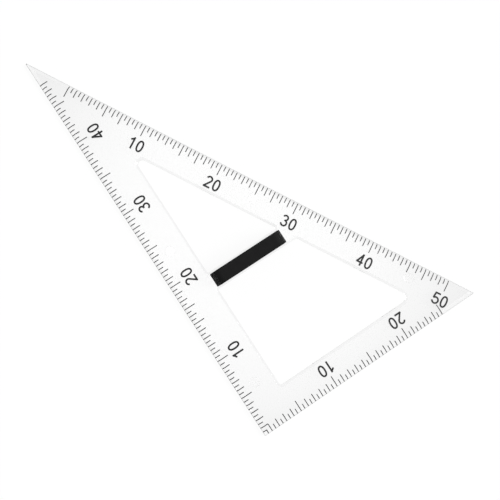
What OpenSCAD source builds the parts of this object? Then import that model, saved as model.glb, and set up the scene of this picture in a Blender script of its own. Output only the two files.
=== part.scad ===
// Magnetic board set square: a clear 30-60-90 plate with printed centimetre scales, a bow handle on a bridge,
// ring magnets under the handle's feet and four clear pads on the back.
// The board is the plane z = 0. The plate is drawn with its right angle at [0, 0], its short leg along +X and
// its long leg along +Y, and is then moved so that the middle of its box is over the origin.

/* [Plate] */
// Length of the long leg, as if its tips were sharp
long_leg = 512.8; // [440:0.1:590]
// Width of the flat that blunts each tip
tip_flat = 0.8; // [0.4:0.1:1.5]
// Thickness of the sheet
plate_t = 4; // [3.6:0.1:6]
// Width of the arm along the long leg
long_arm_w = 45.6; // [40:0.1:52]
// Width of the arm along the short leg
short_arm_w = 37.3; // [35:0.1:60]
// Width of the arm along the hypotenuse
hyp_arm_w = 37.9; // [36.5:0.1:44]
// Width of the bridge that carries the handle
bridge_w = 22.7; // [20:0.1:32]
// Corner radius of the openings at the 30 degree tip
sharp_opening_r = 5; // [2:0.5:8]
// Corner radius of the openings at the 60 degree tip
wide_opening_r = 7.5; // [4:0.5:10]
// Corner radius of the openings at the right angle
right_opening_r = 3.5; // [2:0.5:8]
// Corner radius where the bridge meets an arm
bridge_r = 2; // [1.5:0.5:5]

/* [Edges] */
// Width of the bevel along the outer edges
outer_bevel_w = 4; // [2.5:0.1:4.2]
// Thickness left at the outer edges
outer_edge_t = 2.2; // [1:0.1:3.2]
// Width of the bevel round the openings
inner_bevel_w = 2.5; // [1:0.1:3.5]
// Thickness left at the edges of the openings
inner_edge_t = 2.2; // [1:0.1:3.2]

/* [Scales] */
// Width of a printed line
tick_w = 1; // [0.5:0.1:1.4]
// Length of a half-centimetre line
half_tick_l = 6.5; // [5:0.1:8]
// Length of a centimetre line
cm_tick_l = 10; // [8:0.1:12]
// Length of a five-centimetre line
long_tick_l = 14; // [12.5:0.1:15]
// Distance of the hypotenuse's printed lines from its edge
hyp_tick_start = 0.9; // [0.1:0.1:1.5]
// Distance of the hypotenuse's zero from the 30 degree tip
hyp_zero = 58.6; // [56.6:0.1:63.5]
// Least distance of the hypotenuse's last line from the 60 degree tip
hyp_clear = 33; // [32.5:0.1:60]
// Least distance of the long leg's last line from the 30 degree tip
long_clear = 30.5; // [30:0.1:60]
// Least distance of the short leg's last line from the 60 degree tip
short_clear = 44.5; // [44:0.1:80]
// Thickness of the print
ink_t = 0.1; // [0.05:0.01:0.2]

/* [Numbers] */
// Height of a digit
digit_h = 14.6; // [10:0.1:15]
// Width of a digit
digit_w = 8.4; // [6:0.1:9]
// Distance between the middles of two digits
digit_pitch = 10.3; // [9.5:0.1:12]
// Width of the digits' strokes
pen = 2.1; // [1:0.1:2.2]
// Distance of the numbers' middle from the hypotenuse's edge
hyp_number_inset = 26.1; // [25.4:0.1:27]
// The same distance on the long leg
long_number_inset = 25.2; // [24.5:0.1:27]
// The same distance on the short leg
short_number_inset = 24.2; // [23.5:0.1:26]

/* [Handle] */
// Length of the handle over its feet
handle_l = 95.8; // [80:0.1:110]
// Width of the handle
handle_w = 17; // [15:0.1:20]
// Height of the handle above the plate
handle_h = 22; // [18:0.5:30]
// Thickness of the grip bar
bar_t = 6; // [5:0.1:8]
// How far a leg leans inwards over its height
leg_lean = 5.5; // [3:0.1:7]
// Length of a foot along the handle
foot_l = 18.5; // [17.5:0.1:22]
// Radius of the shoulders between the bar and its legs
bar_end_r = 8; // [5:0.1:10]
// Radius of the rounds along the bar
bar_side_r = 1; // [0.5:0.1:3]
// Radius of the upper corners of the finger gap
gap_r = 6; // [2:0.5:8]
// Clearance between the handle's left end and the long leg's arm
clear_left = 0.95; // [0.5:0.05:5]
// Clearance between the handle's right end and the hypotenuse's arm
clear_right = 1.05; // [0.5:0.05:5]

/* [Magnets and screws] */
// Distance of a screw from the handle's end
screw_inset = 11.9; // [10.5:0.1:13]
// Diameter of a magnet
magnet_d = 14; // [12:0.1:15]
// Thickness of a magnet
magnet_t = 3; // [2.8:0.1:3.2]
// Depth of the recess that holds a magnet
recess_h = 2.2; // [2:0.1:2.5]
// Clearance round a magnet
magnet_gap = 0.1; // [0.05:0.01:0.2]
// Diameter of a screw
screw_d = 4; // [3:0.1:4]
// Length of a screw
screw_l = 14; // [11:0.5:16]
// Diameter of a screw's head
head_d = 7.6; // [6:0.1:8]
// Width and depth of the cross in a screw's head
cross_w = 0.9; // [0.6:0.1:1.1]
// Clearance round a screw in its holes
screw_gap = 0.05; // [0.03:0.01:0.1]

/* [Pads] */
// Diameter of a pad
pad_d = 12; // [10:0.1:16]
// Thickness of a pad
pad_t = 1.2; // [1:0.1:2]
// Radius of the round at a pad's lower edge
pad_r = 0.5; // [0.1:0.1:0.8]
// Height of the low pads above the short leg's edge
pad_low_y = 57; // [50:1:90]
// Height of the high pads above the short leg's edge
pad_high_y = 236; // [225:1:260]

/* [Hidden] */
$fn = 96;
// How far a cutting shape reaches past the faces that it cuts
past = 1;
// How far cutting shapes overlap, and how much a round is over size so that it crosses the faces beside it
overlap = 0.5;
over_size = 0.02;
// Steps along a printed round stroke
curve_steps = 20;

// The set square's angles, and what follows from them
tip_angle = 30;
wide_angle = 90 - tip_angle;
short_leg = long_leg * tan(tip_angle);
hypotenuse = long_leg / cos(tip_angle);
// Length that a tip's flat takes off each edge, and the plate's size over the flats
function tip_cut(angle) = tip_flat / 2 / sin(angle / 2);
plate_w = short_leg - tip_cut(wide_angle) * sin(tip_angle);
plate_l = long_leg - tip_cut(tip_angle) * cos(tip_angle);
plate_z = pad_t;
top_z = plate_z + plate_t;
// Distance of the hypotenuse's inner edge, and of its arm's middle line, from the right angle
hyp_inner = short_leg * cos(tip_angle) - hyp_arm_w;
hyp_middle = hyp_inner + hyp_arm_w / 2;
// Where a line at that distance from the right angle has the height y or the place x
function line_x(d, y) = (d - y * sin(tip_angle)) / cos(tip_angle);
function line_y(d, x) = (d - x * cos(tip_angle)) / sin(tip_angle);

// The bridge lies where the opening just takes the handle and its clearances
handle_x = long_arm_w + clear_left + handle_l / 2;
handle_y = line_y(hyp_inner, long_arm_w + clear_left + handle_l + clear_right) - handle_w / 2;
bridge_top = handle_y + bridge_w / 2;
bridge_low = handle_y - bridge_w / 2;

// Corners of the two openings, counterclockwise, with the radius of each
low_opening = [
    [long_arm_w, short_arm_w],
    [line_x(hyp_inner, short_arm_w), short_arm_w],
    [line_x(hyp_inner, bridge_low), bridge_low],
    [long_arm_w, bridge_low]
];
low_radii = [right_opening_r, wide_opening_r, bridge_r, bridge_r];
high_opening = [
    [long_arm_w, bridge_top],
    [line_x(hyp_inner, bridge_top), bridge_top],
    [long_arm_w, line_y(hyp_inner, long_arm_w)]
];
high_radii = [bridge_r, bridge_r, sharp_opening_r];

// Steps of the scales: the lines, the long lines and the numbers
half_cm = 5;
long_step = 50;
number_step = 100;
// Where each scale ends
hyp_end = floor((hypotenuse - hyp_zero - hyp_clear) / half_cm) * half_cm;
long_end = floor((long_leg - long_clear) / half_cm) * half_cm;
short_end = floor((short_leg - short_clear) / half_cm) * half_cm;
// Lines printed long between the fives: one in ten centimetres on the hypotenuse, one on the long leg
hyp_extra_first = 70;
hyp_extra = [for (s = [hyp_extra_first : number_step : hyp_end]) s];
long_extra = [170];
// Room that a number leaves to a tip of this angle
function tip_room(inset, angle) = (inset + digit_h / 2) / tan(angle) + digit_pitch;
long_number_end = min(long_end, long_leg - tip_room(long_number_inset, tip_angle));
hyp_number_end = min(hyp_end, hypotenuse - hyp_zero - tip_room(hyp_number_inset, wide_angle));
short_number_end = min(short_end, short_leg - tip_room(short_number_inset, wide_angle));

// Magnets hang this far out of the back, short of the board
magnet_z = plate_z + recess_h - magnet_t;
head_h = (head_d - screw_d) / 2;
// A head lies this far inside the magnet's face
head_sink = 0.2;
head_z = magnet_z + head_sink;
// Length of a screw's blunt point
tip_h = 2;
pilot_end = head_z + screw_l + past;

// Helpers for outlines with rounded corners
function unit(v) = v / norm(v);
function turn_right(v) = [v[1], -v[0]];
function before(list, i) = list[(i + len(list) - 1) % len(list)];
function after(list, i) = list[(i + 1) % len(list)];
function way_in(p, i) = unit(p[i] - before(p, i));
function way_out(p, i) = unit(after(p, i) - p[i]);
// Turn at a corner, and how far its round begins from it
function corner_turn(p, i) = acos(way_in(p, i) * way_out(p, i));
function corner_cut(p, r, i) = r[i] * tan(corner_turn(p, i) / 2);
function round_start(p, r, i) = p[i] - way_in(p, i) * corner_cut(p, r, i);
function round_end(p, r, i) = p[i] + way_out(p, i) * corner_cut(p, r, i);
function round_middle(p, r, i) = round_start(p, r, i) - turn_right(way_in(p, i)) * r[i];
function heading(v) = atan2(v[1], v[0]);
function flat_corners(p, r) = [for (i = [0 : len(p) - 1]) each [round_start(p, r, i), round_end(p, r, i)]];

// A convex outline whose corners are arcs
module rounded_outline(p, r) {
    polygon(flat_corners(p, r));
    for (i = [0 : len(p) - 1])
        if (r[i] > 0)
            translate(round_middle(p, r, i)) circle(r[i]);
}

// The same outline with flat corners, drawn in by the overlap
function inner_corners(p, r) = [for (i = [0 : len(p) - 1]) each [
    round_start(p, r, i) - turn_right(way_in(p, i)) * overlap,
    round_end(p, r, i) - turn_right(way_out(p, i)) * overlap
]];

// Cut through the plate along a rounded outline, wider towards the upper face
module bevelled_cut(p, r) {
    rise = (plate_t - inner_edge_t) / inner_bevel_w;
    wide = inner_bevel_w + past;
    tall = plate_t + past * rise;
    inside = 2 * overlap;
    translate([0, 0, -past]) linear_extrude(tall + past) polygon(inner_corners(p, r));
    for (i = [0 : len(p) - 1]) {
        edge_start = round_end(p, r, i);
        edge_end = round_start(p, r, (i + 1) % len(p));
        corner_r = r[i] + over_size;
        translate(edge_start) rotate(heading(way_out(p, i))) rotate([90, 0, 90])
            linear_extrude(norm(edge_end - edge_start))
                polygon([[inside, -past], [0, -past], [0, inner_edge_t], [-wide, tall], [inside, tall]]);
        translate(round_middle(p, r, i)) rotate_extrude()
            polygon([
                [0, -past], [corner_r, -past], [corner_r, inner_edge_t], [corner_r + wide, tall], [0, tall]
            ]);
    }
}

// Frames of the three outer edges: X runs along the edge and Y into the plate
module short_edge() children();
module hyp_edge() translate([short_leg, 0, 0]) rotate(90 + tip_angle) children();
module long_edge() translate([0, long_leg, 0]) rotate(-90) children();

// The whole part over the origin
module centred() translate([-plate_w / 2, -plate_l / 2, 0]) children();

// Places of the two screws and their magnets
module at_screw(side) translate([handle_x + side * (handle_l / 2 - screw_inset), handle_y, 0]) children();

// Wedge above the bevel of an outer edge
module edge_wedge(edge_l) {
    rise = (plate_t - outer_edge_t) / outer_bevel_w;
    wide = outer_bevel_w + past;
    low = outer_edge_t - past * rise;
    high = plate_t + past * rise;
    translate([-past, 0, 0]) rotate([90, 0, 90]) linear_extrude(edge_l + 2 * past)
        polygon([[-past, low], [wide, high], [-past, high]]);
}

module plate_blank() {
    right_cut = tip_cut(90);
    wide_cut = tip_cut(wide_angle);
    sharp_cut = tip_cut(tip_angle);
    hyp_way = [-sin(tip_angle), cos(tip_angle)];
    difference() {
        linear_extrude(plate_t) polygon([
            [right_cut, 0], [short_leg - wide_cut, 0], [short_leg, 0] + wide_cut * hyp_way,
            [0, long_leg] - sharp_cut * hyp_way, [0, long_leg - sharp_cut], [0, right_cut]
        ]);
        short_edge() edge_wedge(short_leg);
        hyp_edge() edge_wedge(hypotenuse);
        long_edge() edge_wedge(long_leg);
    }
}

module clear_plate() {
    color([0.9, 0.95, 0.95, 0.35]) centred() difference() {
        translate([0, 0, plate_z]) difference() {
            plate_blank();
            bevelled_cut(low_opening, low_radii);
            bevelled_cut(high_opening, high_radii);
        }
        for (side = [-1, 1]) at_screw(side) {
            translate([0, 0, plate_z - past]) cylinder(d = magnet_d + 2 * magnet_gap, h = recess_h + past);
            cylinder(d = screw_d + 2 * screw_gap, h = top_z + past);
        }
    }
}

// A printed line across an edge, over its bevel and onto the flat face
module tick(place, start, tick_l) {
    rise = (plate_t - outer_edge_t) / outer_bevel_w;
    start_z = plate_z + outer_edge_t + start * rise;
    end = start + tick_l;
    translate([place - tick_w / 2, 0, 0]) rotate([90, 0, 90]) linear_extrude(tick_w) polygon([
        [start, start_z], [outer_bevel_w, top_z], [end, top_z],
        [end, top_z + ink_t], [outer_bevel_w, top_z + ink_t], [start, start_z + ink_t]
    ]);
}

function is_long(s, extra) = s % long_step == 0 || len(search(s, extra)) > 0;
function full_tick(s, extra) =
    is_long(s, extra) ? long_tick_l :
    s % (2 * half_cm) == 0 ? cm_tick_l : half_tick_l;
// Lines near the right angle end where those of the other leg meet them
function leg_tick(s, extra, gap) = min(full_tick(s, extra), s - gap);

module hypotenuse_ticks() {
    color("black") centred() hyp_edge()
        for (s = [0 : half_cm : hyp_end])
            tick(hypotenuse - hyp_zero - s, hyp_tick_start, full_tick(s, hyp_extra));
}

module long_leg_ticks() {
    color("black") centred() long_edge()
        for (s = [half_cm : half_cm : long_end])
            tick(long_leg - s, 0, leg_tick(s, long_extra, -tick_w / 2));
}

module short_leg_ticks() {
    color("black") centred() short_edge()
        for (s = [half_cm : half_cm : short_end])
            tick(s, 0, leg_tick(s, [], tick_w / 2));
}

// Strokes of the digits, drawn about the middle of their width and up from their foot
half_w = (digit_w - pen) / 2;
foot_y = pen / 2;
head_y = digit_h - pen / 2;

function arc(c, r, a, b) = [for (i = [0 : curve_steps]) c + r * [cos(a + (b - a) * i / curve_steps),
                                                                sin(a + (b - a) * i / curve_steps)]];
module pen_arc(c, r, a, b) polygon(concat(arc(c, r + pen / 2, a, b), arc(c, r - pen / 2, b, a)));
module pen_line(a, b) {
    side = turn_right(unit(b - a)) * pen / 2;
    polygon([a + side, b + side, b - side, a - side]);
}
// An oval a little fuller than an ellipse, whose power would be 1
oval_power = 0.88;
function full(v) = sign(v) * pow(abs(v), oval_power);
module oval(w, h) {
    polygon([for (i = [0 : 2 * curve_steps - 1]) [w / 2 * full(cos(180 * i / curve_steps)),
                                                  h / 2 * full(sin(180 * i / curve_steps))]]);
}

module digit_0() {
    translate([0, digit_h / 2]) difference() {
        oval(digit_w, digit_h);
        oval(digit_w - 2 * pen, digit_h - 2 * pen);
    }
}
module digit_1() {
    stem_x = 0.12 * digit_w;
    flag_low = [-0.32 * digit_w, 0.72 * digit_h];
    flag_high = [stem_x, digit_h - 0.7 * pen];
    pen_line([stem_x, 0], [stem_x, digit_h]);
    pen_line(flag_low, flag_high);
}
module digit_2() {
    bowl = [0, head_y - half_w];
    bowl_start = 168;
    bowl_end = -38;
    pen_arc(bowl, half_w, bowl_start, bowl_end);
    pen_line(bowl + half_w * [cos(bowl_end), sin(bowl_end)], [-half_w, foot_y]);
    pen_line([-digit_w / 2, foot_y], [digit_w / 2, foot_y]);
}
module digit_3() {
    waist = 0.53 * digit_h;
    high_bowl = [-0.02 * digit_w, (head_y + waist) / 2];
    low_bowl = [0, (waist + foot_y) / 2];
    open_angle = 165;
    waist_angle = 97;
    pen_arc(high_bowl, (head_y - waist) / 2, open_angle, -waist_angle);
    pen_arc(low_bowl, (waist - foot_y) / 2, waist_angle, -open_angle);
}
module digit_4() {
    stem_x = 0.2 * digit_w;
    bar_y = 0.29 * digit_h;
    pen_line([stem_x, 0], [stem_x, digit_h]);
    pen_line([-digit_w / 2, bar_y], [digit_w / 2, bar_y]);
    pen_line([-half_w, bar_y], [stem_x, head_y]);
}
module digit_5() {
    bowl_r = 0.252 * digit_h;
    bowl = [-0.02 * digit_w, foot_y + bowl_r];
    bowl_start = 150;
    bowl_end = -165;
    back_low = [-0.4 * digit_w, 0.47 * digit_h];
    back_x = -0.27 * digit_w;
    pen_arc(bowl, bowl_r, bowl_start, bowl_end);
    pen_line([back_x, head_y], [0.42 * digit_w, head_y]);
    pen_line(back_low, [back_x, digit_h - 0.1 * pen]);
}
module digit(n) {
    if (n == 0) digit_0();
    if (n == 1) digit_1();
    if (n == 2) digit_2();
    if (n == 3) digit_3();
    if (n == 4) digit_4();
    if (n == 5) digit_5();
}

// A two-digit number whose head faces the edge
module number(place, inset, tens) {
    translate([place, inset, top_z]) rotate(180) linear_extrude(ink_t) {
        translate([-digit_pitch / 2, -digit_h / 2]) digit(tens);
        translate([digit_pitch / 2, -digit_h / 2]) digit(0);
    }
}

module hypotenuse_numbers() {
    color("black") centred() hyp_edge()
        for (s = [number_step : number_step : hyp_number_end])
            number(hypotenuse - hyp_zero - s, hyp_number_inset, s / number_step);
}

module long_leg_numbers() {
    color("black") centred() long_edge()
        for (s = [number_step : number_step : long_number_end])
            number(long_leg - s, long_number_inset, s / number_step);
}

module short_leg_numbers() {
    color("black") centred() short_edge()
        for (s = [number_step : number_step : short_number_end])
            number(s, short_number_inset, s / number_step);
}

// The handle from the side: leaning legs, round shoulders, flat bar and finger gap
module handle_side() {
    leg_x = handle_l / 2;
    bar_x = leg_x - leg_lean;
    gap_x = handle_l / 2 - foot_l;
    gap_h = handle_h - bar_t;
    difference() {
        rounded_outline([[-leg_x, 0], [leg_x, 0], [bar_x, handle_h], [-bar_x, handle_h]],
                        [0, 0, bar_end_r, bar_end_r]);
        rounded_outline([[-gap_x, -past], [gap_x, -past], [gap_x, gap_h], [-gap_x, gap_h]],
                        [0, 0, gap_r, gap_r]);
    }
}

// The handle from its end, rounded along the bar
module handle_end() {
    side_y = handle_w / 2;
    rounded_outline([[-side_y, 0], [side_y, 0], [side_y, handle_h], [-side_y, handle_h]],
                    [0, 0, bar_side_r, bar_side_r]);
}

module handle() {
    color([0.13, 0.13, 0.13]) centred() difference() {
        translate([handle_x, handle_y, top_z]) intersection() {
            translate([0, handle_w / 2, 0]) rotate([90, 0, 0]) linear_extrude(handle_w) handle_side();
            translate([-handle_l / 2, 0, 0]) rotate([90, 0, 90]) linear_extrude(handle_l) handle_end();
        }
        for (side = [-1, 1]) at_screw(side) cylinder(d = screw_d + 2 * screw_gap, h = pilot_end);
    }
}

// A countersunk screw, head down, with a cross in its head and a blunt point
module screw() {
    shank_r = screw_d / 2;
    point_z = screw_l - tip_h;
    translate([0, 0, head_z]) difference() {
        rotate_extrude() polygon([
            [0, 0], [head_d / 2, 0], [shank_r, head_h],
            [shank_r, point_z], [shank_r / 2, screw_l], [0, screw_l]
        ]);
        for (a = [0, 90]) rotate(a)
            translate([-screw_d / 2, -cross_w / 2, -past]) cube([screw_d, cross_w, cross_w + past]);
    }
}

module handle_screws() {
    color("silver") centred() for (side = [-1, 1]) at_screw(side) screw();
}

// A ring magnet, countersunk from below
module magnet() {
    hole_r = screw_d / 2 + screw_gap;
    sink_r = head_d / 2 + screw_gap;
    sink_z = head_z - magnet_z;
    translate([0, 0, magnet_z]) rotate_extrude() polygon([
        [sink_r, 0], [magnet_d / 2, 0], [magnet_d / 2, magnet_t], [hole_r, magnet_t],
        [hole_r, sink_z + sink_r - hole_r], [sink_r, sink_z]
    ]);
}

module magnet_left() color([0.7, 0.7, 0.72]) centred() at_screw(-1) magnet();
module magnet_right() color([0.7, 0.7, 0.72]) centred() at_screw(1) magnet();

// A clear pad under the plate, rounded at its lower edge
module pad(place) {
    r = pad_d / 2;
    color([0.95, 0.95, 0.95, 0.5]) centred() translate(place) rotate_extrude() {
        translate([0, pad_r]) square([r, pad_t - pad_r]);
        square([r - pad_r, pad_t]);
        translate([r - pad_r, pad_r]) intersection() {
            circle(pad_r);
            translate([0, -pad_r]) square(pad_r);
        }
    }
}

module pad_long_leg_low() pad([long_arm_w / 2, pad_low_y]);
module pad_long_leg_high() pad([long_arm_w / 2, pad_high_y]);
module pad_hypotenuse_low() pad([line_x(hyp_middle, pad_low_y), pad_low_y]);
module pad_hypotenuse_high() pad([line_x(hyp_middle, pad_high_y), pad_high_y]);

clear_plate();
hypotenuse_ticks();
hypotenuse_numbers();
long_leg_ticks();
long_leg_numbers();
short_leg_ticks();
short_leg_numbers();
handle();
handle_screws();
magnet_left();
magnet_right();
pad_long_leg_low();
pad_long_leg_high();
pad_hypotenuse_low();
pad_hypotenuse_high();
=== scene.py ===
import math

import bmesh
import bpy
from mathutils import Matrix, Vector


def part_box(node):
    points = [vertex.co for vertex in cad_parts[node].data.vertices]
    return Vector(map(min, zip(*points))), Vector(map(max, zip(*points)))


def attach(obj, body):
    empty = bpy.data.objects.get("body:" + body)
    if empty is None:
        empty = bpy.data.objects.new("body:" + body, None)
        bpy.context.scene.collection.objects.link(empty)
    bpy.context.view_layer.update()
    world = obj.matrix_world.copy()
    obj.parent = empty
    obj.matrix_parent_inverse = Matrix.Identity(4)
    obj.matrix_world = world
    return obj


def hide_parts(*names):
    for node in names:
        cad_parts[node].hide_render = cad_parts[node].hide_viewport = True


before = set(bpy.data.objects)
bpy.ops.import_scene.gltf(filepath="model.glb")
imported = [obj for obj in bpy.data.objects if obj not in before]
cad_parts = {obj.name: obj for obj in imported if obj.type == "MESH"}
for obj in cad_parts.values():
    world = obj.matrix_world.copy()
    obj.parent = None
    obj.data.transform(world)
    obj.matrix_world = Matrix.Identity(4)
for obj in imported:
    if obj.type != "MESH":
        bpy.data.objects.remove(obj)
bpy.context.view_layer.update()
MM = 0.001  # a millimetre in metres; the pieces' own sizes are in millimetres
MERGE = 1e-6  # metres within which two points are one
CAUGHT = 3  # reflections inside clear plastic after which a ray is let out


# Materials

def linear(hex_colour):
    """Linear colour of an sRGB hex value such as #1f2022."""
    parts = [int(hex_colour[i:i + 2], 16) / 255 for i in (1, 3, 5)]
    return [c / 12.92 if c <= 0.04045 else ((c + 0.055) / 1.055) ** 2.4 for c in parts] + [1.0]


def add(tree, kind, settings=None, links=None):
    """Adds a node. Settings are its properties or constants on its sockets, links feed its sockets."""
    node = tree.nodes.new(kind)
    for name, value in (settings or {}).items():
        if isinstance(name, str) and hasattr(node, name):
            setattr(node, name, value)
        else:
            node.inputs[name].default_value = value
    for name, source in (links or {}).items():
        tree.links.new(source, node.inputs[name])
    return node


def new_material(name):
    """An empty material with its node tree and its output node."""
    material = bpy.data.materials.new(name)
    material.use_nodes = True
    tree = material.node_tree
    tree.nodes.clear()
    return material, tree, add(tree, "ShaderNodeOutputMaterial")


def per_mm(size):
    """Noise scale for blotches of this size in millimetres."""
    return 1 / (size * MM)


def clear_plastic(name, tint, ior, waves, wave_depth, smudges, polish, passed, reflect):
    """A clear plastic with a slow wave in its surface and smudges that dull its polish.
    Lamps shine through it, less what its faces send back, and a ray that stays caught inside is let out."""
    material, tree, output = new_material(name)
    place = add(tree, "ShaderNodeTexCoord").outputs["Object"]
    wave = add(tree, "ShaderNodeTexNoise", {"Scale": per_mm(waves), "Detail": 1.0}, {"Vector": place})
    bump = add(tree, "ShaderNodeBump", {"Strength": 1.0, "Distance": wave_depth * MM},
               {"Height": wave.outputs["Fac"]})
    smudge = add(tree, "ShaderNodeTexNoise", {"Scale": per_mm(smudges), "Detail": 4.0}, {"Vector": place})
    least, most = 0.4, 0.7  # between these the noise goes from the best polish to the dullest
    dull = add(tree, "ShaderNodeMapRange", {"From Min": least, "From Max": most, "To Min": polish[0],
               "To Max": polish[1]}, {"Value": smudge.outputs["Fac"]})
    body = add(tree, "ShaderNodeBsdfPrincipled", {"Base Color": linear(tint), "IOR": ior,
               "Transmission Weight": 1.0, "Specular IOR Level": reflect},
               {"Roughness": dull.outputs["Result"], "Normal": bump.outputs["Normal"]})
    path = add(tree, "ShaderNodeLightPath")
    lit = add(tree, "ShaderNodeMath", {"operation": "MAXIMUM"},
              {0: path.outputs["Is Shadow Ray"], 1: path.outputs["Is Diffuse Ray"]})
    caught = add(tree, "ShaderNodeMath", {"operation": "GREATER_THAN", 1: CAUGHT - 0.5},
                 {0: path.outputs["Glossy Depth"]})
    out = add(tree, "ShaderNodeMath", {"operation": "MAXIMUM"},
              {0: lit.outputs["Value"], 1: caught.outputs["Value"]})
    through = add(tree, "ShaderNodeBsdfTransparent", {"Color": linear(passed)})
    mix = add(tree, "ShaderNodeMixShader", None,
              {"Fac": out.outputs["Value"], 1: body.outputs["BSDF"], 2: through.outputs["BSDF"]})
    tree.links.new(mix.outputs["Shader"], output.inputs["Surface"])
    return material


def solid_finish(name, dark, pale, blotches, gloss, grain, grain_depth, **shader):
    """A solid finish: a colour that varies slowly between two, a gloss that varies with it and a fine
    grain."""
    material, tree, output = new_material(name)
    place = add(tree, "ShaderNodeTexCoord").outputs["Object"]
    blotch = add(tree, "ShaderNodeTexNoise", {"Scale": per_mm(blotches), "Detail": 3.0}, {"Vector": place})
    least, most = 0.35, 0.65  # between these the noise goes from one colour and gloss to the other
    colour = add(tree, "ShaderNodeValToRGB", None, {"Fac": blotch.outputs["Fac"]})
    ends = colour.color_ramp.elements
    ends[0].position, ends[1].position = least, most
    ends[0].color, ends[1].color = linear(dark), linear(pale)
    rough = add(tree, "ShaderNodeMapRange", {"From Min": least, "From Max": most, "To Min": gloss[0],
                "To Max": gloss[1]}, {"Value": blotch.outputs["Fac"]})
    grains = add(tree, "ShaderNodeTexNoise", {"Scale": per_mm(grain), "Detail": 2.0}, {"Vector": place})
    bump = add(tree, "ShaderNodeBump", {"Strength": 1.0, "Distance": grain_depth * MM},
               {"Height": grains.outputs["Fac"]})
    body = add(tree, "ShaderNodeBsdfPrincipled", shader,
               {"Base Color": colour.outputs["Color"], "Roughness": rough.outputs["Result"],
                "Normal": bump.outputs["Normal"]})
    tree.links.new(body.outputs["BSDF"], output.inputs["Surface"])
    return material


# Cast acrylic sheet, polished: colourless, mirror smooth, with a slow wave from casting and faint smudges
cast_acrylic = clear_plastic("cast acrylic, polished", "#f4f4f4", 1.49, waves=60, wave_depth=0.02,
                             smudges=18, polish=(0.01, 0.05), passed="#fbfbfb", reflect=0.5)

# Milled acrylic edge: the cutter leaves it satin, so it scatters light. Its grey is painted darker than a
# frosted acrylic edge is, as painted shade, so it reads as a thin dark grey line along the outline
milled_edge_painted_shade = solid_finish("acrylic edge, milled satin, greyed as painted shade", "#707272", "#7e8080", blotches=6,
                              gloss=(0.45, 0.6), grain=0.6, grain_depth=0.004,
                              **{"IOR": 1.49, "Transmission Weight": 0.25})

# Bevelled acrylic: milled and polished less than the faces, so a little duller
bevelled_acrylic = clear_plastic("acrylic bevel, milled and polished", "#fbfbfb", 1.49, waves=25,
                                 wave_depth=0.01, smudges=5, polish=(0.06, 0.14), passed="#f8f8f8",
                                 reflect=0.5)

# Soft polyurethane, cast: clear with a slight haze and a slightly uneven skin
soft_polyurethane = clear_plastic("clear polyurethane, cast", "#fcfcfc", 1.5, waves=5, wave_depth=0.002,
                                  smudges=3, polish=(0.03, 0.08), passed="#fdfdfd", reflect=0.05)

# Screen printed ink, black: thin, even and half matt, a little paler where the screen left less ink
black_ink = solid_finish("black screen print ink", "#0b0c0d", "#151617", blotches=3, gloss=(0.45, 0.6),
                         grain=0.5, grain_depth=0.004, IOR=1.5)

# Moulded ABS, black: satin from the spark eroded mould, with its 0.2 mm grain drawn at 0.5 mm to show
black_abs = solid_finish("black ABS, moulded satin", "#171717", "#1c1c1c", blotches=9, gloss=(0.7, 0.78),
                         grain=0.5, grain_depth=0.02, **{"IOR": 1.53, "Specular IOR Level": 0.1})

# Zinc plated steel, bright: pale bluish metal with soft cloudy gloss from the plating bath
zinc_plate = solid_finish("zinc plated steel", "#b9bec4", "#cdd1d6", blotches=2, gloss=(0.24, 0.36),
                          grain=0.3, grain_depth=0.004, Metallic=1.0)

# Nickel plated magnet: warm bright metal, smoother than the zinc
nickel_plate = solid_finish("nickel plated magnet", "#c4beb3", "#d2ccc2", blotches=4, gloss=(0.14, 0.24),
                            grain=0.4, grain_depth=0.002, Metallic=1.0)


# Pieces

def new_piece(name, bm, material, node, crease=35):
    """Makes a mesh object of bm, smooth on its rounds, and lets it stand for the CAD node."""
    bmesh.ops.remove_doubles(bm, verts=bm.verts, dist=MERGE)
    bmesh.ops.recalc_face_normals(bm, faces=bm.faces)
    mesh = bpy.data.meshes.new(name)
    bm.to_mesh(mesh)
    bm.free()
    mesh.materials.append(material)
    mesh.shade_smooth()
    mesh.set_sharp_from_angle(angle=math.radians(crease))
    piece = bpy.data.objects.new(name, mesh)
    bpy.context.scene.collection.objects.link(piece)
    piece.modifiers.new("flat faces stay flat", "WEIGHTED_NORMAL").keep_sharp = True
    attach(piece, "root")
    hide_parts(node)
    return piece


def finish_nodes(material, *names):
    """Gives CAD nodes whose shape is right their finish."""
    for name in names:
        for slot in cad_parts[name].material_slots:
            slot.material = material


def round_edges(bm, edges, size, segments):
    """Rounds edges. Size is how far the round reaches along the faces."""
    bmesh.ops.bevel(bm, geom=edges, offset=size * MM, offset_type="OFFSET", affect="EDGES",
                    segments=segments, profile=0.5, material=-1, clamp_overlap=True)


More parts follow.
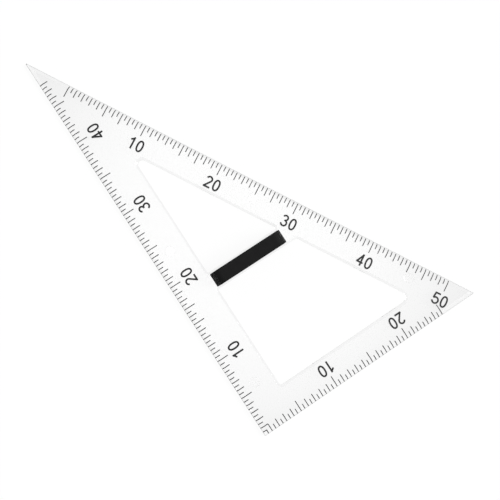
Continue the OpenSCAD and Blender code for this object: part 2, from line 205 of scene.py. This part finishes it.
def clear_sheet():
    """The clear sheet: the CAD plate merged and its edges broken. Its outer edges are milled, in a grey
    darkened as painted shade for the dark outline line, and its bevels polished."""
    bevel_strip, edge_strip = 4.5, 1  # strips along the outer edges, wider and narrower than the bevel
    bevel_line = 100  # the bevels' upper lines are longer than this
    broken = 0.15
    chamfer_w, chamfer_h = 0.28, 0.15
    edge_line = 0.01  # points this near to an outer edge are on it
    least_fold = math.radians(15)  # faces that meet at less than this belong to one round
    flat = 0.97  # the least upward part of a flat face's normal
    slope = math.radians(30)
    bm = bmesh.new()
    bm.from_mesh(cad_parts["clear_plate"].data)
    bmesh.ops.remove_doubles(bm, verts=bm.verts, dist=MERGE)
    ways = [Vector((-1, 0, 0)), Vector((0, -1, 0)), Vector((math.cos(slope), math.sin(slope), 0))]
    reach = [max(v.co.dot(way) for v in bm.verts) for way in ways]

    def at_rim(place, strip):
        return max(place.dot(way) - far for way, far in zip(ways, reach)) > -strip * MM

    sharp = [e for e in bm.edges if e.is_manifold and e.calc_face_angle() > least_fold]
    middle = {e: (e.verts[0].co + e.verts[1].co) / 2 for e in sharp}
    openings = [e for e in sharp if not at_rim(middle[e], bevel_strip)]
    upper = [e for e in sharp if at_rim(middle[e], bevel_strip) and not at_rim(middle[e], edge_strip)
             and e.calc_length() > bevel_line * MM]
    round_edges(bm, openings, broken, 2)
    round_edges(bm, upper, broken, 2)
    # The outer edges get a chamfer: a cut line inside each edge, then its upper and lower corners drawn in
    for way, far in zip(ways, reach):
        bmesh.ops.bisect_plane(bm, geom=bm.verts[:] + bm.edges[:] + bm.faces[:], dist=MERGE / 10,
                               plane_co=way * (far - chamfer_w * MM), plane_no=way)
    corners = [v for v in bm.verts if at_rim(v.co, edge_line)]
    half = sum(v.co.z for v in corners) / len(corners)
    for vert in corners:
        vert.co.z += math.copysign(chamfer_h * MM, half - vert.co.z)
    bm.normal_update()
    # Faces along the outer edges take the milled finish, whose darkened grey is painted shade along the
    # outline; other sloped faces take the bevel finish
    for face in bm.faces:
        if at_rim(face.calc_center_median(), chamfer_w):
            face.material_index = 1
        elif abs(face.normal.z) < flat:
            face.material_index = 2
    sheet = new_piece("clear_sheet", bm, cast_acrylic, "clear_plate", crease=12)
    sheet.data.materials.append(milled_edge_painted_shade)
    sheet.data.materials.append(bevelled_acrylic)


def bow_handle():
    """The bow handle: its outline from the side, pulled to its width, with round corners, soft rims and a
    screw hole in each foot."""
    low, high = (Vector(corner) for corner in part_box("handle"))
    length, width, height = (high - low) / MM
    lean, foot_l, bar_t, gap_r, shoulder_r, rim_r = 5.5, 18.5, 6, 6, 8, 0.8
    hole_r, hole_spare = 2.05, 1  # a little wider than the screw, and this much deeper
    end = length / 2
    bar, gap, gap_h = end - lean, end - foot_l, height - bar_t
    half_outline = [(gap, gap_h), (gap, 0), (end, 0), (bar, height)]
    outline = half_outline + [(-x, z) for x, z in reversed(half_outline)]
    bm = bmesh.new()
    side = bm.faces.new([bm.verts.new((x * MM, -width / 2 * MM, z * MM)) for x, z in outline])
    pulled = bmesh.ops.extrude_face_region(bm, geom=[side])["geom"]
    far_verts = [v for v in pulled if isinstance(v, bmesh.types.BMVert)]
    bmesh.ops.translate(bm, vec=(0, width * MM, 0), verts=far_verts)
    bmesh.ops.recalc_face_normals(bm, faces=bm.faces)

    def across(x, z):
        return [e for e in bm.edges if all(
            abs(abs(v.co.x) - x * MM) < MERGE and abs(v.co.z - z * MM) < MERGE for v in e.verts)
            and e.calc_length() > width * MM / 2 and e.verts[0].co.x * e.verts[1].co.x > 0]

    round_edges(bm, across(gap, gap_h), gap_r, 12)
    round_edges(bm, across(bar, height), shoulder_r * math.tan(math.atan2(height, lean) / 2), 16)
    half = width / 2 * MM
    rims = [e for e in bm.edges if all(abs(abs(v.co.y) - half) < MERGE for v in e.verts)
            and e.verts[0].co.y * e.verts[1].co.y > 0 and max(v.co.z for v in e.verts) > MERGE]
    round_edges(bm, rims, rim_r, 4)
    # Each foot's lower face is filled again round the mouth of its hole, and the mouth is pulled up
    hole_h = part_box("handle_screws")[1][2] + hole_spare * MM - low.z
    for magnet in ("magnet_left", "magnet_right"):
        left, right = (corner[0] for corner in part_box(magnet))
        place = Vector(((left + right) / 2 - (low.x + high.x) / 2, 0, 0))
        lower_faces = [f for f in bm.faces if f.normal.z < -0.99]
        foot = min(lower_faces, key=lambda f: (f.calc_center_median() - place).length)
        foot_edges = foot.edges[:]
        bmesh.ops.delete(bm, geom=[foot], context="FACES_ONLY")
        ring = bmesh.ops.create_circle(bm, segments=48, radius=hole_r * MM,
                                       matrix=Matrix.Translation(place))["verts"]
        mouth = list({e for v in ring for e in v.link_edges})
        bmesh.ops.triangle_fill(bm, use_beauty=True, edges=foot_edges + mouth)
        wall = bmesh.ops.extrude_edge_only(bm, edges=mouth)["geom"]
        end_verts = {v for v in wall if isinstance(v, bmesh.types.BMVert)}
        bmesh.ops.translate(bm, vec=(0, 0, hole_h), verts=list(end_verts))
        bmesh.ops.edgeloop_fill(bm, edges=[e for e in wall if isinstance(e, bmesh.types.BMEdge)
                                           and end_verts.issuperset(e.verts)])
    bmesh.ops.translate(bm, vec=((low.x + high.x) / 2, (low.y + high.y) / 2, low.z), verts=bm.verts)
    new_piece("bow_handle", bm, black_abs, "handle")


def round_pad(node):
    """A clear pad: a low disc with a round lower edge, a hair below the plate so that its top face shows."""
    low, high = (Vector(corner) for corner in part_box(node))
    hair, rim_r = 0.03, 0.5
    radius, depth = (high.x - low.x) / 2, high.z - low.z - hair * MM
    bm = bmesh.new()
    bmesh.ops.create_cone(bm, cap_ends=True, segments=64, radius1=radius, radius2=radius, depth=depth)
    rim = [e for e in bm.edges if all(v.co.z < 0 for v in e.verts)]
    round_edges(bm, rim, rim_r, 5)
    centre = ((low.x + high.x) / 2, (low.y + high.y) / 2, low.z + depth / 2)
    bmesh.ops.translate(bm, vec=centre, verts=bm.verts)
    new_piece("clear_" + node, bm, soft_polyurethane, node)


def ring_magnet(node):
    """A ring magnet: the CAD solid merged, its rims rounded as its plating leaves them."""
    rim_r, least_fold = 0.25, math.radians(40)
    bm = bmesh.new()
    bm.from_mesh(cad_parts[node].data)
    bmesh.ops.remove_doubles(bm, verts=bm.verts, dist=MERGE)
    round_edges(bm, [e for e in bm.edges if e.calc_face_angle() > least_fold], rim_r, 3)
    new_piece("ring_" + node, bm, nickel_plate, node)


finish_nodes(black_ink, "hypotenuse_ticks", "hypotenuse_numbers", "long_leg_ticks", "long_leg_numbers",
             "short_leg_ticks", "short_leg_numbers")
finish_nodes(zinc_plate, "handle_screws")
clear_sheet()
bow_handle()
for magnet in ("magnet_left", "magnet_right"):
    ring_magnet(magnet)
for pad in ("pad_long_leg_low", "pad_long_leg_high", "pad_hypotenuse_low", "pad_hypotenuse_high"):
    round_pad(pad)


# Floor, light and camera

def seen(tree):
    """1 for rays from the camera, mirrored or passed by clear plastic, which see the white studio."""
    path = add(tree, "ShaderNodeLightPath")
    near = add(tree, "ShaderNodeMath", {"operation": "MAXIMUM"},
               {0: path.outputs["Is Camera Ray"], 1: path.outputs["Is Glossy Ray"]})
    return add(tree, "ShaderNodeMath", {"operation": "MAXIMUM"},
               {0: near.outputs["Value"], 1: path.outputs["Is Transmission Ray"]}).outputs["Value"]


def white_floor(glow):
    """A white floor that takes shadows. Where it is seen it glows, so that it meets the white backdrop."""
    half_size, drop = 6, 0.1 * MM  # metres
    material, tree, output = new_material("white studio floor")
    paper = add(tree, "ShaderNodeBsdfDiffuse", {"Color": linear("#505050")})
    lift = add(tree, "ShaderNodeMath", {"operation": "MULTIPLY", 1: glow}, {0: seen(tree)})
    light = add(tree, "ShaderNodeEmission", None, {"Strength": lift.outputs["Value"]})
    both = add(tree, "ShaderNodeAddShader", None, {0: paper.outputs["BSDF"], 1: light.outputs["Emission"]})
    under = add(tree, "ShaderNodeNewGeometry").outputs["Backfacing"]
    clear = add(tree, "ShaderNodeBsdfTransparent")
    mix = add(tree, "ShaderNodeMixShader", None,
              {"Fac": under, 1: both.outputs["Shader"], 2: clear.outputs["BSDF"]})
    tree.links.new(mix.outputs["Shader"], output.inputs["Surface"])
    bm = bmesh.new()
    bmesh.ops.create_grid(bm, x_segments=1, y_segments=1, size=half_size)
    bmesh.ops.translate(bm, vec=(0, 0, -drop), verts=bm.verts)
    mesh = bpy.data.meshes.new("floor")
    bm.to_mesh(mesh)
    bm.free()
    mesh.materials.append(material)
    floor = bpy.data.objects.new("floor", mesh)
    bpy.context.scene.collection.objects.link(floor)


def studio(ambient, ceiling, overhead, towards, inner, outer):
    """A white backdrop where it is seen straight. Mirrored, it has white walls, a greyer ceiling and a soft
    bright patch overhead, which fades from inner to outer degrees. Matt surfaces get an even ambient
    level."""
    wall_top, ceiling_edge = 0.5, 0.85  # heights of a ray between which the walls turn into the ceiling
    world = bpy.data.worlds.new("studio")
    bpy.context.scene.world = world
    world.use_nodes = True
    tree = world.node_tree
    tree.nodes.clear()
    output = add(tree, "ShaderNodeOutputWorld")
    ray = add(tree, "ShaderNodeTexCoord").outputs["Generated"]
    height = add(tree, "ShaderNodeSeparateXYZ", None, {"Vector": ray}).outputs["Z"]
    walls = add(tree, "ShaderNodeMapRange", {"interpolation_type": "SMOOTHSTEP", "From Min": wall_top,
                "From Max": ceiling_edge, "To Min": 1.0, "To Max": ceiling}, {"Value": height})
    near = add(tree, "ShaderNodeVectorMath",
               {"operation": "DOT_PRODUCT", 1: Vector(towards).normalized()}, {0: ray})
    patch = add(tree, "ShaderNodeMapRange", {"interpolation_type": "SMOOTHSTEP",
                "From Min": math.cos(math.radians(outer)), "From Max": math.cos(math.radians(inner)),
                "To Min": 0.0, "To Max": overhead}, {"Value": near.outputs["Value"]})
    total = add(tree, "ShaderNodeMath", {"operation": "ADD"},
                {0: walls.outputs["Result"], 1: patch.outputs["Result"]})
    white = linear("#ffffff")
    shown = add(tree, "ShaderNodeBackground", {"Color": white}, {"Strength": total.outputs["Value"]})
    plain = add(tree, "ShaderNodeBackground", {"Color": white, "Strength": ambient})
    backdrop = add(tree, "ShaderNodeBackground", {"Color": white, "Strength": 1.0})
    mirrored = add(tree, "ShaderNodeMath", {"operation": "GREATER_THAN", 1: 0.5},
                   {0: add(tree, "ShaderNodeLightPath").outputs["Glossy Depth"]})
    bright = add(tree, "ShaderNodeMixShader", None, {"Fac": mirrored.outputs["Value"],
                 1: backdrop.outputs["Background"], 2: shown.outputs["Background"]})
    mix = add(tree, "ShaderNodeMixShader", None,
              {"Fac": seen(tree), 1: plain.outputs["Background"], 2: bright.outputs["Shader"]})
    tree.links.new(mix.outputs["Shader"], output.inputs["Surface"])


def key_lamp(name, place, spread, strength):
    """A large soft lamp, so far off that it lights the whole floor alike. Place gives its direction, and
    spread its width in degrees as the part sees it."""
    data = bpy.data.lights.new(name, "SUN")
    data.angle, data.energy = math.radians(spread), strength
    lamp = bpy.data.objects.new(name, data)
    lamp.location = place
    lamp.rotation_euler = (-Vector(place)).to_track_quat("-Z", "Y").to_euler()
    lamp.visible_transmission = False
    bpy.context.scene.collection.objects.link(lamp)


white_floor(glow=0.93)
studio(ambient=0.5, ceiling=0.2, overhead=2.0, towards=(0.104, 0.051, 1), inner=1, outer=22)
key_lamp("key lamp, right", (2.05, -0.96, 1.65), spread=34, strength=2.3)

# The photograph's camera, found from the printed scales: 700 pixels of focal length in a 500 pixel frame
SENSOR, FOCAL, FRAME, SHIFT = 36, 700, 500, -25
camera_data = bpy.data.cameras.new("photo camera")
camera_data.sensor_width = SENSOR
camera_data.lens = SENSOR * FOCAL / FRAME
camera_data.shift_y = SHIFT / FRAME
camera = bpy.data.objects.new("photo camera", camera_data)
right = (0.835429, -0.545659, 0.065694)
up = (0.539946, 0.837176, 0.087154)
back = (-0.102519, -0.037361, 0.994029)
turn = Matrix((right, up, back)).transposed().to_4x4()
camera.matrix_world = Matrix.Translation((-0.11437, -0.07486, 0.81617)) @ turn
bpy.context.scene.collection.objects.link(camera)
bpy.context.scene.camera = camera
bpy.context.scene.view_settings.view_transform = "Standard"
